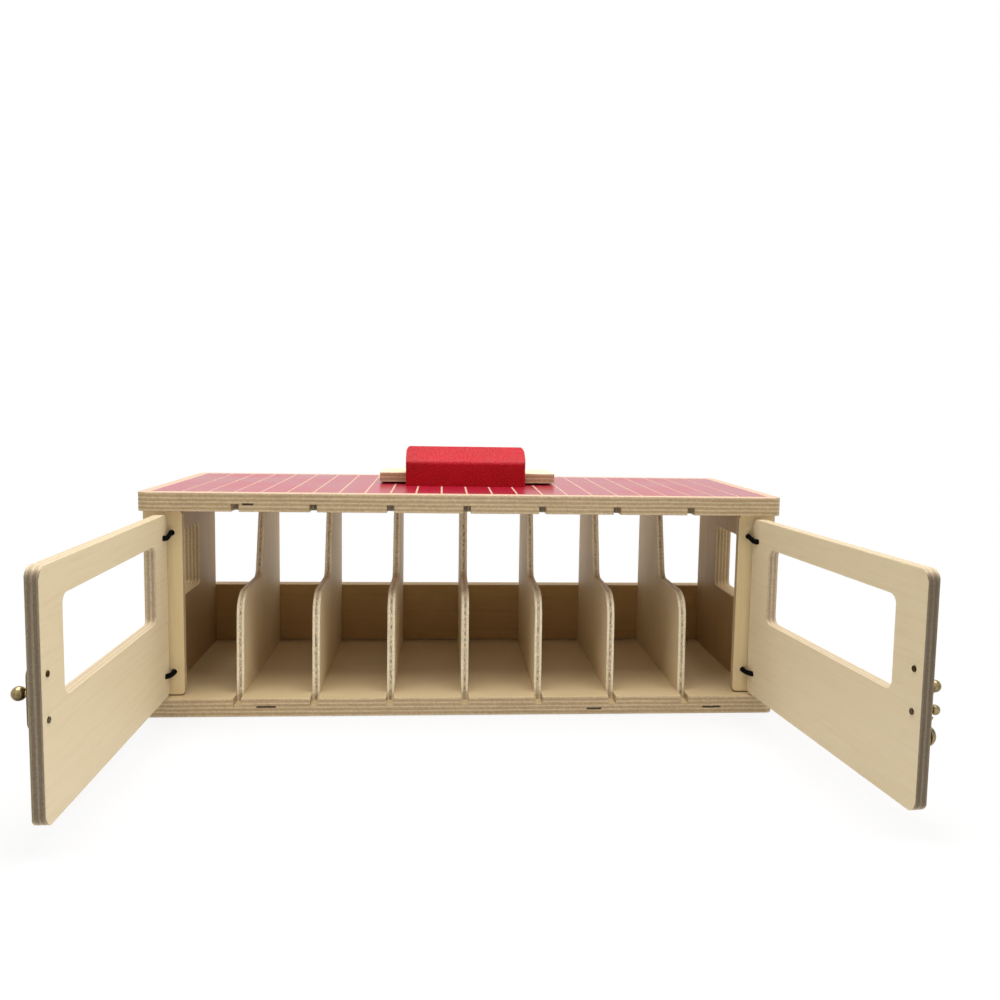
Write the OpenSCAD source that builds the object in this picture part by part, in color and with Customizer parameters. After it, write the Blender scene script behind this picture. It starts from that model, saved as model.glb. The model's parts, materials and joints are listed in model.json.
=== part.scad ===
// A toy stable box in natural plywood: eight stalls under a flat roof with a
// red printed boarding pattern, two doors hung on flat cords, a brass latch,
// and a red ridge block with a folding carry handle.
// X runs along the box, Y runs from the front to the back, Z is up.
// The origin is the middle of the underside of the floor board.
// All sizes are in millimetres. Each sub-component is its own module and node.

/* [Boards] */
// Length of the roof and floor boards from end to end
board_l = 406; // [300:1:600]
// Depth of the roof and floor boards from front to back
board_d = 156; // [110:1:240]
// Thickness of the roof and floor boards
board_t = 11.7; // [9:0.1:19]
// Clear height between the floor board and the roof board
clear_h = 118.6; // [80:0.1:200]
// Corner radius of both boards seen from above
board_r = 6; // [2:0.5:12]
// Eased radius on the long edges of both boards
board_ease = 0.4; // [0.3:0.1:2]

/* [Stalls] */
// Number of dividers between the two side walls
divider_n = 7; // [1:1:11]
// Clear width of the two stalls at the ends
end_stall_w = 44.125; // [30:0.125:60]
// Thickness of a divider
divider_t = 4.75; // [3:0.05:8]
// Depth of the grooves that hold the dividers
groove_depth = 4.8; // [2:0.1:6]
// Play on each side of a divider in its groove
groove_play = 0.03; // [0.01:0.01:0.2]
// Height of the low front part of a divider above the underside of the floor
divider_low_z = 76.3; // [50:0.1:100]
// Radius of the front top corner of a divider
divider_nose_r = 16; // [5:0.5:25]
// Distance from the front of the boards to the foot of a divider
divider_front = 10.5; // [6:0.1:20]
// How far the front edge of a divider leans back over its low height
divider_lean = 2.6; // [0:0.1:6]
// Depth of the rear post of a divider where it rises from the low top edge
post_foot_w = 68.9; // [40:0.1:90]
// Depth of the rear post of a divider under the roof
post_head_w = 53.4; // [30:0.1:70]
// Radius of the inner corner where the low top edge meets the post
divider_fillet_r = 7; // [3:0.5:12]
// How far a divider's rounds lap past the edges that they meet
round_lap = 0.03; // [0.01:0.01:0.05]

/* [Walls] */
// Thickness of a side wall
side_t = 11; // [6:0.1:18]
// Distance from the ends of the boards in to the outer faces of the side walls
side_inset = 2.1; // [0:0.1:20]
// Distance from the front of the boards to the front edge of a side wall
side_front = 11.65; // [6:0.05:20]
// Distance from the back of the boards in to the rear face of the back wall
back_inset = 3.1; // [0:0.1:20]
// Thickness of the back wall
back_t = 11; // [6:0.1:14]
// Height of the top of the back wall above the underside of the floor
back_top = 56.4; // [30:0.1:120]
// Gap between the underside of the back wall and the floor board
back_lift = 1; // [0.3:0.1:3]
// Depth of a side window from front to back
side_win_w = 48.2; // [20:0.1:90]
// Height of a side window
side_win_h = 44.7; // [20:0.1:90]
// Distance from the front of the boards to the middle of a side window
side_win_y = 72.3; // [50:0.1:100]
// Height of the middle of a side window above the underside of the floor
side_win_z = 88.85; // [60:0.1:100]
// Corner radius of a side window
side_win_r = 4; // [1:0.5:10]

/* [Front posts] */
// Width of a front post
post_w = 23.6; // [12:0.1:30]
// Thickness of a front post
post_t = 4.75; // [3:0.05:8]
// Radius of the corners of a front post that face the stalls
post_r = 2.5; // [0.5:0.5:5]
// Gap between a front post and the floor board
post_lift = 0.95; // [0.2:0.05:3]
// Gap between a front post and the roof board
post_drop = 0.5; // [0.2:0.05:3]

/* [Doors] */
// Thickness of a door
door_t = 6.3; // [4:0.1:12]
// Distance from the outer face of a side wall in to the hinge line
hinge_inset = 15.15; // [8:0.05:20]
// Stand-off of the hinge line in front of the face of a front post
hinge_off = 2; // [1.8:0.1:4]
// Gap between the hinge line and the hinge edge of a door
door_edge_gap = 0.5; // [0.2:0.1:2]
// Gap between the two closed doors where they meet
door_meet_gap = 0.9; // [0.5:0.1:3]
// Gap under a door
door_lift = 1.45; // [0.5:0.05:4]
// Gap over a door
door_drop = 2.1; // [0.5:0.05:4]
// Corner radius of a door
door_r = 6.5; // [2:0.5:12]
// Eased radius on the edges of a door
door_ease = 0.6; // [0.2:0.1:1.5]
// Distance from the hinge line to the near edge of the door window
door_win_s = 24.95; // [15:0.05:60]
// Width of the wood between the door window and the free edge of the door
door_stile_w = 23.7; // [15:0.1:40]
// Height of the wood under the door window
door_rail_low = 51.65; // [30:0.05:70]
// Height of the wood over the door window
door_rail_top = 16.3; // [10:0.1:40]
// Corner radius of the door window
door_win_r = 5; // [2:0.5:10]
// Angle of the left door from closed in the drawn position
left_open = 89.6; // [0:0.1:104]
// Angle of the right door from closed in the drawn position
right_open = 95.6; // [0:0.1:104]

/* [Hinge cords] */
// Thickness of the flat cord
cord_t = 1.7; // [1:0.1:1.8]
// Width of the flat cord, measured up and down
cord_w = 3; // [2:0.1:4]
// Bore for the cord in the doors and in the front posts
cord_hole_d = 3.8; // [3:0.1:5]
// Distance from the hinge line to the cord bore in a door
cord_door_s = 8.5; // [6:0.1:15]
// Distance from the hinge line to the cord bore in a front post, inwards
cord_post_in = 2.05; // [1:0.05:4]
// Height of the upper cord bores in the front posts above the underside of the floor
cord_hi_z = 116; // [90:0.1:125]
// How much lower the upper cord bores sit in the doors, with the doors sagging on the cords
cord_sag = 2; // [0:0.1:4]
// Height of the lower cord bores above the underside of the floor
cord_lo_z = 27.2; // [15:0.1:50]
// Diameter of a knot
knot_d = 5; // [4.2:0.1:7]

/* [Latch] */
// Height of the latch centre above the underside of the floor
latch_z = 70.6; // [60:0.1:90]
// Distance from the middle of the box to the middle of the keeper plate
keeper_in = 5.75; // [5:0.05:12]
// Distance from the middle of the box to the middle of the hook plate
hook_in = 6.75; // [5:0.05:12]
// Width of a latch plate
plate_w = 8.8; // [6:0.1:12]
// Height of a latch plate
plate_h = 28; // [20:0.1:40]
// Thickness of a latch plate
plate_t = 0.8; // [0.5:0.1:1.5]
// Distance of each plate screw from the latch centre
plate_screw_z = 10.2; // [8:0.1:16]
// Diameter of the plate screws
plate_screw_d = 2.9; // [1.6:0.1:3.2]
// Diameter of the domed heads of the plate screws
plate_head_d = 4.4; // [3:0.1:6]
// Height of the domed heads of the plate screws
plate_head_h = 0.7; // [0.4:0.1:1.2]
// Length of the plate screws past the inner face of the door
plate_screw_out = 0.6; // [0:0.1:2]
// Height of the keeper and of the hook pivot above the middle of the plates
latch_up = 1.6; // [0:0.1:3]
// Depth of the shanks of the keeper and the pivot in the doors
shank_in = 2.5; // [1:0.1:4]
// Diameter of the ball on the keeper
knob_d = 6.5; // [4:0.1:8]
// Distance from the outer face of the door to the middle of the ball
knob_out = 5.6; // [5:0.1:8]
// Diameter of the neck under the ball
knob_neck_d = 2.6; // [1.6:0.1:4]
// Diameter of the pivot of the hook arm
pivot_d = 3; // [2:0.1:4]
// Diameter of the ball on the pivot
pivot_ball_d = 5.9; // [4.6:0.1:7]
// Distance from the outer face of the door to the middle of that ball
pivot_out = 4.5; // [4:0.1:9]
// Radial play of the hook arm on its pivot
pivot_play = 0.06; // [0.03:0.01:0.1]
// Thickness of the hook arm
arm_t = 0.8; // [0.6:0.1:1]
// Gap between the heads of the plate screws and the hook arm
arm_lift = 0.2; // [0.1:0.05:0.4]
// Width of the hook arm between its eye and its far end
arm_w = 4.6; // [3:0.1:6]
// Distance from the pivot to the middle of the raised end of the arm
arm_l = 23.6; // [21:0.1:30]
// Width of the ring of the hook arm round its pivot
arm_eye_w = 2.2; // [1.5:0.1:3]
// Play of the notch round the neck of the keeper
notch_play = 0.25; // [0.1:0.05:0.4]
// Diameter of the widened part of the arm round the notch
arm_pad_d = 9.6; // [8:0.1:11]
// Distance of the middle of the widened part from the notch, to the hinge side
arm_pad_side = 1.2; // [0.5:0.1:2]
// Diameter of the finger ball on the hook arm
grip_d = 5; // [3:0.1:6]
// Distance from the outer face of the door to the middle of the finger ball
grip_out = 9; // [6:0.1:10]
// Diameter of the post under the finger ball
grip_neck_d = 2.2; // [1.5:0.1:3]
// Distance of the finger ball from the notch, to the hinge side
grip_side = 5.2; // [4:0.1:8]
// Distance of the finger ball below the notch
grip_low = 0.9; // [0:0.1:2]
// Diameter of the raised end of the arm
arm_tip_d = 10; // [6:0.1:11]
// Height of the raised end of the arm above the outer face of the door
arm_tip_out = 5.8; // [4:0.1:8]

/* [Ridge block] */
// Length of the ridge block
block_l = 82.6; // [50:0.1:120]
// Depth of the ridge block from front to back
block_d = 36; // [26:0.1:50]
// Distance of the ridge block to the right of the middle of the roof
block_right = 0.4; // [0:0.1:5]
// Distance of the ridge block in front of the middle of the roof
block_forward = 1.8; // [0:0.1:20]
// Height of the walls of the ridge block
block_wall_h = 17; // [12:0.1:30]
// Height of the crest of the ridge block
block_h = 27.1; // [18:0.1:40]
// Rounding radius of the shoulders of the ridge block
block_shoulder_r = 4; // [1:0.5:6]
// Rounding radius of the crest of the ridge block
block_crest_r = 3; // [1:0.5:8]
// Rounding radius of the ends of the crest of the ridge block
block_end_r = 4; // [1:0.5:8]
// Rounding radius of the upright corners of the ridge block
block_r = 2; // [0.5:0.5:5]
// Diameter of the screws that hold the ridge block from below
block_screw_d = 4; // [3:0.1:6]
// Depth that those screws reach into the ridge block
block_screw_in = 12; // [8:0.5:14]
// Distance of each of those screws from the middle, along the box
block_screw_x = 24; // [15:0.5:32]
// Distance of each of those screws from the pivot line, to the front or the back
block_screw_y = 9; // [5:0.5:12]

/* [Carry handle] */
// Thickness of the handle
handle_t = 6.5; // [4:0.1:9]
// Width of the handle across its two arms
handle_w = 123; // [100:0.5:150]
// Gap between the ridge block and the left arm
handle_gap_left = 0.3; // [0.2:0.05:4]
// Gap between the ridge block and the right arm
handle_gap_right = 1.3; // [0.2:0.05:6]
// How much wider the right arm of the handle is than the left arm
handle_arm_extra = 2.4; // [0:0.1:4]
// Distance from the pivot to the outer edge of the grip
handle_reach = 58; // [45:0.5:72]
// Depth of the grip
grip_depth = 17.5; // [12:0.5:25]
// Length of the arms past the pivot
handle_nose = 2.9; // [1:0.1:3]
// Outer corner radius of the grip
handle_r = 9; // [3:0.5:20]
// Inner corner radius of the grip
handle_in_r = 6; // [2:0.5:12]
// Height of the pivot above the roof board
pivot_h = 4.75; // [4.6:0.05:8]
// Diameter of the pivot rod
rod_d = 2.4; // [1.6:0.1:4]
// Radial play of the rod in the ridge block
rod_play = 0.06; // [0.03:0.01:0.1]
// Depth of the blind holes for the rod in the arms
rod_in = 10; // [5:0.5:14]
// Tilt of the resting handle, rear edge down
handle_tilt = 1.2; // [0:0.1:1.3]

/* [Roof print] */
// Width of the bare margin of wood at the front
print_front = 8.3; // [3:0.1:20]
// Width of the bare margin of wood at the back
print_back = 9; // [3:0.1:20]
// Width of the bare margin of wood at each end
print_side = 7.5; // [3:0.1:20]
// Number of printed roofing strips
print_n = 24; // [8:2:40]
// Extra width of the printed strip at each end
print_end_extra = 2.54; // [0:0.01:5]
// Width of the light lines
print_line = 1.2; // [0.5:0.1:3]
// Thickness of the printed film
print_t = 0.1; // [0.05:0.05:0.3]

/* [Dowels] */
// Diameter of the dowels between the boards and the side walls
dowel_d = 6; // [4:0.1:8]
// Length of those dowels in each of the two parts
dowel_in = 8; // [5:0.5:10]
// Radial play of a glued dowel or screw
glue_play = 0.02; // [0.01:0.01:0.1]

/* [Hidden] */
roof_z = board_t + clear_h;
top_z = roof_z + board_t;
y0 = -board_d / 2;
post_face_y = y0 + side_front - post_t;
hinge_y = post_face_y - hinge_off;
side_out = board_l / 2 - side_inset;
side_in = side_out - side_t;
hinge_x = side_out - hinge_inset;
divider_pitch = 2 * (side_in - end_stall_w - divider_t / 2) / (divider_n - 1);
back_front = board_d - back_inset - back_t;
divider_post_low = back_front - post_foot_w;
divider_post_top = back_front - post_head_w;
door_z0 = board_t + door_lift;
door_z1 = roof_z - door_drop;
door_s1 = hinge_x - door_meet_gap / 2;
door_win_w = door_s1 - door_stile_w - door_win_s;
door_win_z = door_z0 + door_rail_low;
door_win_h = door_z1 - door_rail_top - door_win_z;
keeper_s = hinge_x - keeper_in;
hook_s = hinge_x - hook_in;
catch_r = keeper_in + hook_in;
post_in_x = side_out - post_w;
pivot_y = -block_forward;
handle_gap = block_l + handle_gap_left + handle_gap_right;
handle_x = block_right + (handle_gap_right - handle_gap_left) / 2;
handle_off = handle_arm_extra / 2;
print_pitch = (board_l - 2 * print_side - 2 * print_end_extra) / print_n;
pivot_z = top_z + pivot_h;
print_z = top_z + print_t;
arm_n0 = plate_t + plate_head_h + arm_lift;
arm_n1 = arm_n0 + arm_t;
lean_a = atan(divider_lean / (divider_low_z - board_t));
post_a = atan((divider_post_top - divider_post_low) / (roof_z - divider_low_z));
slope_a = atan((block_h - block_wall_h) / (block_d / 2));
natural = [0.86, 0.76, 0.6];
pale = [0.83, 0.74, 0.6];
red = [0.72, 0.04, 0.12];
print_red = [0.78, 0.06, 0.18];
brass = [0.75, 0.56, 0.24];
black = [0.05, 0.05, 0.05];
steel = [0.62, 0.62, 0.6];
$fn = 48;

// Flat outlines with exact round corners

module rounded_rect(w, h, r) {
    square([w - 2 * r, h], center = true);
    square([w, h - 2 * r], center = true);
    for (sx = [-1, 1], sy = [-1, 1])
        translate([sx * (w / 2 - r), sy * (h / 2 - r)])
            circle(r = r);
}

// A board lying flat: rounded corners in plan and eased long edges
module eased_board(l, d, t, r, e) {
    intersection() {
        linear_extrude(height = t) rounded_rect(l, d, r);
        rotate([90, 0, 90])
            linear_extrude(height = l + 2, center = true)
                translate([0, t / 2]) rounded_rect(d, t, e);
        rotate([90, 0, 0])
            linear_extrude(height = d + 2, center = true)
                translate([0, t / 2]) rounded_rect(l, t, e);
    }
}

// Floor and roof boards

module divider_grooves(z0) {
    for (i = [0:divider_n - 1])
        translate([(i - (divider_n - 1) / 2) * divider_pitch, 0, z0])
            translate([-divider_t / 2 - groove_play, y0 - 1, 0])
                cube([divider_t + 2 * groove_play, back_front + 1, groove_depth + 1]);
}

module dowel_spots() {
    for (sx = [-1, 1], fy = [0.2, 0.8])
        translate([sx * (side_in + side_t / 2), y0 + side_front + fy * (back_front - side_front), 0])
            children();
}

module floor_board() color(natural) {
    difference() {
        eased_board(board_l, board_d, board_t, board_r, board_ease);
        divider_grooves(board_t - groove_depth);
        dowel_spots()
            translate([0, 0, board_t - dowel_in])
                cylinder(h = dowel_in + 1, d = dowel_d + 2 * glue_play);
    }
}

module roof_board() color(natural) {
    difference() {
        translate([0, 0, roof_z]) eased_board(board_l, board_d, board_t, board_r, board_ease);
        divider_grooves(roof_z - 1);
        dowel_spots()
            translate([0, 0, roof_z - 1])
                cylinder(h = dowel_in + 1, d = dowel_d + 2 * glue_play);
        for (sx = [-1, 1])
            translate([block_right + sx * block_screw_x, pivot_y + sx * block_screw_y,
                roof_z - 1]) {
                cylinder(h = board_t + 2, d = block_screw_d + 2 * glue_play);
                cylinder(h = 1 + block_screw_d / 2, r1 = block_screw_d + 1,
                    r2 = block_screw_d / 2);
            }
    }
}

// The printed strips are a thin film on the roof board
module roof_print() color(print_red) {
    span = board_l - 2 * print_side;
    for (i = [0:print_n - 1]) {
        c0 = (i - print_n / 2) * print_pitch;
        x0 = i == 0 ? -span / 2 : c0 + print_line / 2;
        x1 = i == print_n - 1 ? span / 2 : c0 + print_pitch - print_line / 2;
        difference() {
            translate([x0, y0 + print_front, top_z])
                cube([x1 - x0, board_d - print_front - print_back, print_t]);
            for (sx = [-1, 1])
                translate([block_right + sx * block_screw_x, pivot_y + sx * block_screw_y,
                    top_z - 1])
                    cylinder(h = print_t + 2, d = block_screw_d + 2 * glue_play);
        }
    }
}

// Walls

module side_wall(sx) color(pale) {
    difference() {
        translate([sx > 0 ? side_in : -side_out, y0 + side_front, board_t])
            cube([side_t, back_front - side_front, clear_h]);
        translate([sx * (side_in + side_t / 2), y0 + side_win_y, side_win_z])
            rotate([90, 0, 90])
                linear_extrude(height = side_t + 2, center = true)
                    rounded_rect(side_win_w, side_win_h, side_win_r);
        dowel_spots()
            translate([0, 0, board_t - 1])
                cylinder(h = dowel_in + 1, d = dowel_d + 2 * glue_play);
        dowel_spots()
            translate([0, 0, roof_z - dowel_in])
                cylinder(h = dowel_in + 1, d = dowel_d + 2 * glue_play);
        back_dowel_holes();
    }
}

module side_wall_left() side_wall(-1);
module side_wall_right() side_wall(1);

module back_dowel_spots() {
    for (sx = [-1, 1], fz = [0.3, 0.75])
        translate([sx * (side_in + side_t / 2), y0 + back_front, back_top * fz])
            rotate([-90, 0, 0])
                children();
}

module back_dowel_holes() {
    back_dowel_spots()
        translate([0, 0, -dowel_in])
            cylinder(h = 2 * dowel_in, d = dowel_d + 2 * glue_play);
}

module back_wall() color(pale) {
    difference() {
        translate([-side_out, y0 + back_front, board_t + back_lift])
            cube([2 * side_out, back_t, back_top - board_t - back_lift]);
        back_dowel_holes();
    }
}

module board_dowels() color(pale) {
    dowel_spots() {
        translate([0, 0, board_t - dowel_in])
            cylinder(h = 2 * dowel_in, d = dowel_d);
        translate([0, 0, roof_z - dowel_in])
            cylinder(h = 2 * dowel_in, d = dowel_d);
    }
}

module back_dowels() color(pale) {
    back_dowel_spots()
        translate([0, 0, -dowel_in])
            cylinder(h = 2 * dowel_in, d = dowel_d);
}

// Dividers: a low front with a round nose, a leaning rear post, and tongues
// that fill the grooves of both boards

module divider_outline() {
    nose_z = divider_low_z - divider_nose_r;
    nose_y = divider_front + (nose_z - board_t) * tan(lean_a) + divider_nose_r / cos(lean_a);
    fil_z = divider_low_z + divider_fillet_r;
    fil_y = divider_post_low + divider_fillet_r * tan(post_a) - divider_fillet_r / cos(post_a);
    z_low = board_t - groove_depth;
    z_high = roof_z + groove_depth;
    difference() {
        polygon([
            [divider_front, z_low], [divider_front, board_t],
            [divider_front + divider_lean, divider_low_z], [fil_y, divider_low_z],
            [fil_y, fil_z],
            [fil_y + divider_fillet_r * cos(post_a), fil_z - divider_fillet_r * sin(post_a)],
            [divider_post_top, roof_z], [divider_front, roof_z], [divider_front, z_high],
            [back_front, z_high], [back_front, z_low]
        ]);
        translate([fil_y, fil_z]) circle(r = divider_fillet_r + round_lap);
        translate([nose_y - round_lap, nose_z + round_lap])
            difference() {
                translate([-divider_nose_r - 2, 0]) square(divider_nose_r + 2);
                circle(r = divider_nose_r);
            }
    }
}

module divider(i) color(pale) {
    translate([(i - 1 - (divider_n - 1) / 2) * divider_pitch, y0, 0])
        rotate([90, 0, 90])
            linear_extrude(height = divider_t, center = true)
                divider_outline();
}

module divider_1() divider(1);
module divider_2() divider(2);
module divider_3() divider(3);
module divider_4() divider(4);
module divider_5() divider(5);
module divider_6() divider(6);
module divider_7() divider(7);

// Front posts: flat strips on the front edges of the side walls

module post_outline() {
    z0 = board_t + post_lift;
    z1 = roof_z - post_drop;
    translate([post_in_x + post_r, z0]) square([post_w - post_r, z1 - z0]);
    translate([post_in_x, z0 + post_r]) square([post_w, z1 - z0 - 2 * post_r]);
    for (z = [z0 + post_r, z1 - post_r])
        translate([post_in_x + post_r, z]) circle(r = post_r);
}

module front_post(sx) color(natural) {
    difference() {
        mirror([sx > 0 ? 0 : 1, 0, 0])
            translate([0, post_face_y + post_t, 0])
                rotate([90, 0, 0])
                    linear_extrude(height = post_t)
                        post_outline();
        for (z = [cord_lo_z, cord_hi_z])
            translate([sx * (hinge_x - cord_post_in), post_face_y - 1, z])
                rotate([-90, 0, 0])
                    cylinder(h = post_t + 2, d = cord_hole_d);
    }
}

module front_post_left() front_post(-1);
module front_post_right() front_post(1);

// Doors. In a door's own frame X runs from the hinge line to the free edge,
// Y runs from the outer face (negative) to the inner face (zero).

module at_left_door() {
    translate([-hinge_x, hinge_y, 0]) rotate([0, 0, -left_open]) children();
}

module at_right_door() {
    translate([hinge_x, hinge_y, 0])
        rotate([0, 0, right_open])
            mirror([1, 0, 0]) children();
}

module door_panel(plate_s) {
    w = door_s1 - door_edge_gap;
    h = door_z1 - door_z0;
    difference() {
        translate([door_edge_gap + w / 2, -door_t, (door_z0 + door_z1) / 2])
            rotate([-90, 0, 0])
                eased_board(w, h, door_t, door_r, door_ease);
        translate([door_win_s + door_win_w / 2, -door_t / 2, door_win_z + door_win_h / 2])
            rotate([90, 0, 0])
                linear_extrude(height = door_t + 2, center = true)
                    rounded_rect(door_win_w, door_win_h, door_win_r);
        for (z = [cord_lo_z, cord_hi_z - cord_sag])
            translate([cord_door_s, 1, z])
                rotate([90, 0, 0])
                    cylinder(h = door_t + 2, d = cord_hole_d);
        for (dz = [-plate_screw_z, plate_screw_z])
            translate([plate_s, 1, latch_z + dz])
                rotate([90, 0, 0])
                    cylinder(h = door_t + 2, d = plate_screw_d + 2 * glue_play);
        translate([plate_s, -door_t + shank_in, latch_z + latch_up])
            rotate([90, 0, 0])
                cylinder(h = door_t, d = knob_neck_d + 2 * glue_play);
    }
}

module door_left() color(natural) at_left_door() door_panel(keeper_s);
module door_right() color(natural) at_right_door() door_panel(hook_s);

// Hinge cords: a flat cord knotted behind the post, through the post, past
// the hinge line and through the door, knotted again on the outer face.
// The outline is drawn in plan in the left-hand sense and mirrored.

module cord_bar(a, b) {
    dx = b[0] - a[0];
    dy = b[1] - a[1];
    translate(a)
        rotate(atan2(dy, dx))
            translate([0, -cord_t / 2])
                square([sqrt(dx * dx + dy * dy), cord_t]);
    translate(a) circle(d = cord_t);
    translate(b) circle(d = cord_t);
}

// A length of cord from plan point a to plan point b that drops by the sag,
// a hair slimmer than the rounds at its ends
module cord_slant(a, b, sag) {
    dx = b[0] - a[0];
    dy = b[1] - a[1];
    l = sqrt(dx * dx + dy * dy);
    w = cord_w - 0.12;
    translate([a[0], a[1], 0])
        rotate([0, 0, atan2(dy, dx)])
            rotate([90, 0, 0])
                linear_extrude(height = cord_t - 0.12, center = true)
                    polygon([[0, -w / 2], [l, -sag - w / 2], [l, -sag + w / 2], [0, w / 2]]);
}

module hinge_cord(sx, open_a, z, sag) {
    xp = -hinge_x + cord_post_in;
    dir = [cos(open_a), -sin(open_a)];
    nrm = [-sin(open_a), -cos(open_a)];
    back_pt = [xp, post_face_y + post_t + knot_d / 2];
    bend_pt = [xp, hinge_y - cord_door_s * 0.6];
    in_pt = [-hinge_x, hinge_y] + cord_door_s * dir - (cord_t * 0.75) * nrm;
    out_pt = [-hinge_x, hinge_y] + cord_door_s * dir + (door_t + knot_d / 2 + 0.15) * nrm;
    color(black)
        mirror([sx > 0 ? 1 : 0, 0, 0])
            translate([0, 0, z]) {
                translate([0, 0, -cord_w / 2])
                    linear_extrude(height = cord_w) cord_bar(back_pt, bend_pt);
                cord_slant(bend_pt, in_pt, sag);
                translate([0, 0, -sag - cord_w / 2])
                    linear_extrude(height = cord_w) cord_bar(in_pt, out_pt);
                translate([back_pt[0], back_pt[1], 0]) sphere(d = knot_d);
                translate([out_pt[0], out_pt[1], -sag]) sphere(d = knot_d);
            }
}

module hinge_cord_left_upper() hinge_cord(-1, left_open, cord_hi_z, cord_sag);
module hinge_cord_left_lower() hinge_cord(-1, left_open, cord_lo_z, 0);
module hinge_cord_right_upper() hinge_cord(1, right_open, cord_hi_z, cord_sag);
module hinge_cord_right_lower() hinge_cord(1, right_open, cord_lo_z, 0);

// Latch. The keeper sits on the left door and the hook on the right door.
// In these modules Z points away from the outer face of the door.

module on_door(s) {
    translate([s, -door_t, latch_z]) rotate([90, 0, 0]) children();
}

module latch_plate() {
    difference() {
        linear_extrude(height = plate_t) {
            square([plate_w, plate_h - plate_w], center = true);
            for (e = [-1, 1])
                translate([0, e * (plate_h - plate_w) / 2]) circle(d = plate_w);
        }
        for (e = [-1, 1])
            translate([0, e * plate_screw_z, -1])
                cylinder(h = plate_t + 2, d = plate_screw_d + 2 * glue_play);
        translate([0, latch_up, -1])
            cylinder(h = plate_t + 2, d = knob_neck_d + 2 * glue_play);
    }
}

module plate_screws() {
    head_r = plate_head_d / 2;
    dome_r = (head_r * head_r + plate_head_h * plate_head_h) / (2 * plate_head_h);
    slot_w = plate_head_d * 0.14;
    for (e = [-1, 1])
        translate([0, e * plate_screw_z, 0]) {
            translate([0, 0, -door_t - plate_screw_out])
                cylinder(h = door_t + plate_screw_out + plate_t + plate_head_h / 4,
                    d = plate_screw_d);
            translate([0, 0, plate_t])
                difference() {
                    intersection() {
                        translate([0, 0, plate_head_h - dome_r]) sphere(r = dome_r);
                        cylinder(h = 2 * plate_head_h, d = plate_head_d + 1);
                    }
                    translate([-plate_head_d, -slot_w / 2, plate_head_h / 2])
                        cube([2 * plate_head_d, slot_w, plate_head_h]);
                }
        }
}

module keeper_plate() color(brass) at_left_door() on_door(keeper_s) latch_plate();
module keeper_screws() color(brass) at_left_door() on_door(keeper_s) plate_screws();

module keeper_knob() color(brass) at_left_door() on_door(keeper_s) {
    translate([0, latch_up, -shank_in]) cylinder(h = shank_in + knob_out, d = knob_neck_d);
    translate([0, latch_up, knob_out]) sphere(d = knob_d);
}

module hook_plate() color(brass) at_right_door() on_door(hook_s) latch_plate();
module hook_plate_screws() color(brass) at_right_door() on_door(hook_s) plate_screws();

// The pivot is a stepped stud: a collar carries the arm over the screw heads,
// a flat-bottomed ball keeps it on
module hook_rivet() color(brass) at_right_door() on_door(hook_s) {
    ball_n = arm_n1 + arm_lift;
    translate([0, latch_up, -shank_in]) cylinder(h = shank_in + plate_t, d = knob_neck_d);
    translate([0, latch_up, plate_t])
        cylinder(h = plate_head_h, d = pivot_d + 2 * arm_eye_w);
    translate([0, latch_up, plate_t]) cylinder(h = pivot_out - plate_t, d = pivot_d);
    translate([0, latch_up, 0])
        intersection() {
            translate([0, 0, pivot_out]) sphere(d = pivot_ball_d);
            translate([0, 0, ball_n]) cylinder(h = pivot_out + pivot_ball_d, d = 2 * pivot_ball_d);
        }
}

// The arm hangs down from its eye. Its notch opens to the free edge of the
// door and swings up over the neck of the keeper by a quarter turn; the slot
// follows the arc that the neck takes round the pivot.
module hook_arm_flat() {
    notch_d = knob_neck_d + 2 * notch_play;
    difference() {
        union() {
            circle(d = pivot_d + 2 * arm_eye_w);
            translate([-arm_w / 2, -arm_l]) square([arm_w, arm_l]);
            translate([-arm_pad_side, -catch_r]) circle(d = arm_pad_d);
            translate([-grip_side, -catch_r - grip_low]) circle(d = grip_d * 0.9);
            translate([0, -arm_l]) circle(d = arm_tip_d);
        }
        circle(d = pivot_d + 2 * pivot_play);
        translate([0, -catch_r]) circle(d = notch_d);
        intersection() {
            difference() {
                circle(r = catch_r + notch_d / 2);
                circle(r = catch_r - notch_d / 2);
            }
            translate([0, -catch_r - arm_pad_d]) square([arm_pad_d, 2 * arm_pad_d]);
        }
    }
}

module hook_arm() color(brass) at_right_door() on_door(hook_s) {
    cap_n = arm_n1 + 0.3;
    cap_r = arm_tip_d / 2 - 0.1;
    dome_r = (cap_r * cap_r + pow(arm_tip_out - cap_n, 2)) / (2 * (arm_tip_out - cap_n));
    translate([0, latch_up, 0]) {
        translate([0, 0, arm_n0]) linear_extrude(height = arm_t) hook_arm_flat();
        translate([-grip_side, -catch_r - grip_low, arm_n1 - arm_t / 2])
            cylinder(h = grip_out - arm_n1 + arm_t / 2, d = grip_neck_d);
        translate([-grip_side, -catch_r - grip_low, grip_out]) sphere(d = grip_d);
        translate([0, -arm_l, 0])
            intersection() {
                translate([0, 0, arm_tip_out - dome_r]) sphere(r = dome_r);
                translate([0, 0, arm_n1 - arm_t / 2]) cylinder(h = arm_tip_out, r = cap_r);
            }
    }
}

// Ridge block and carry handle

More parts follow.
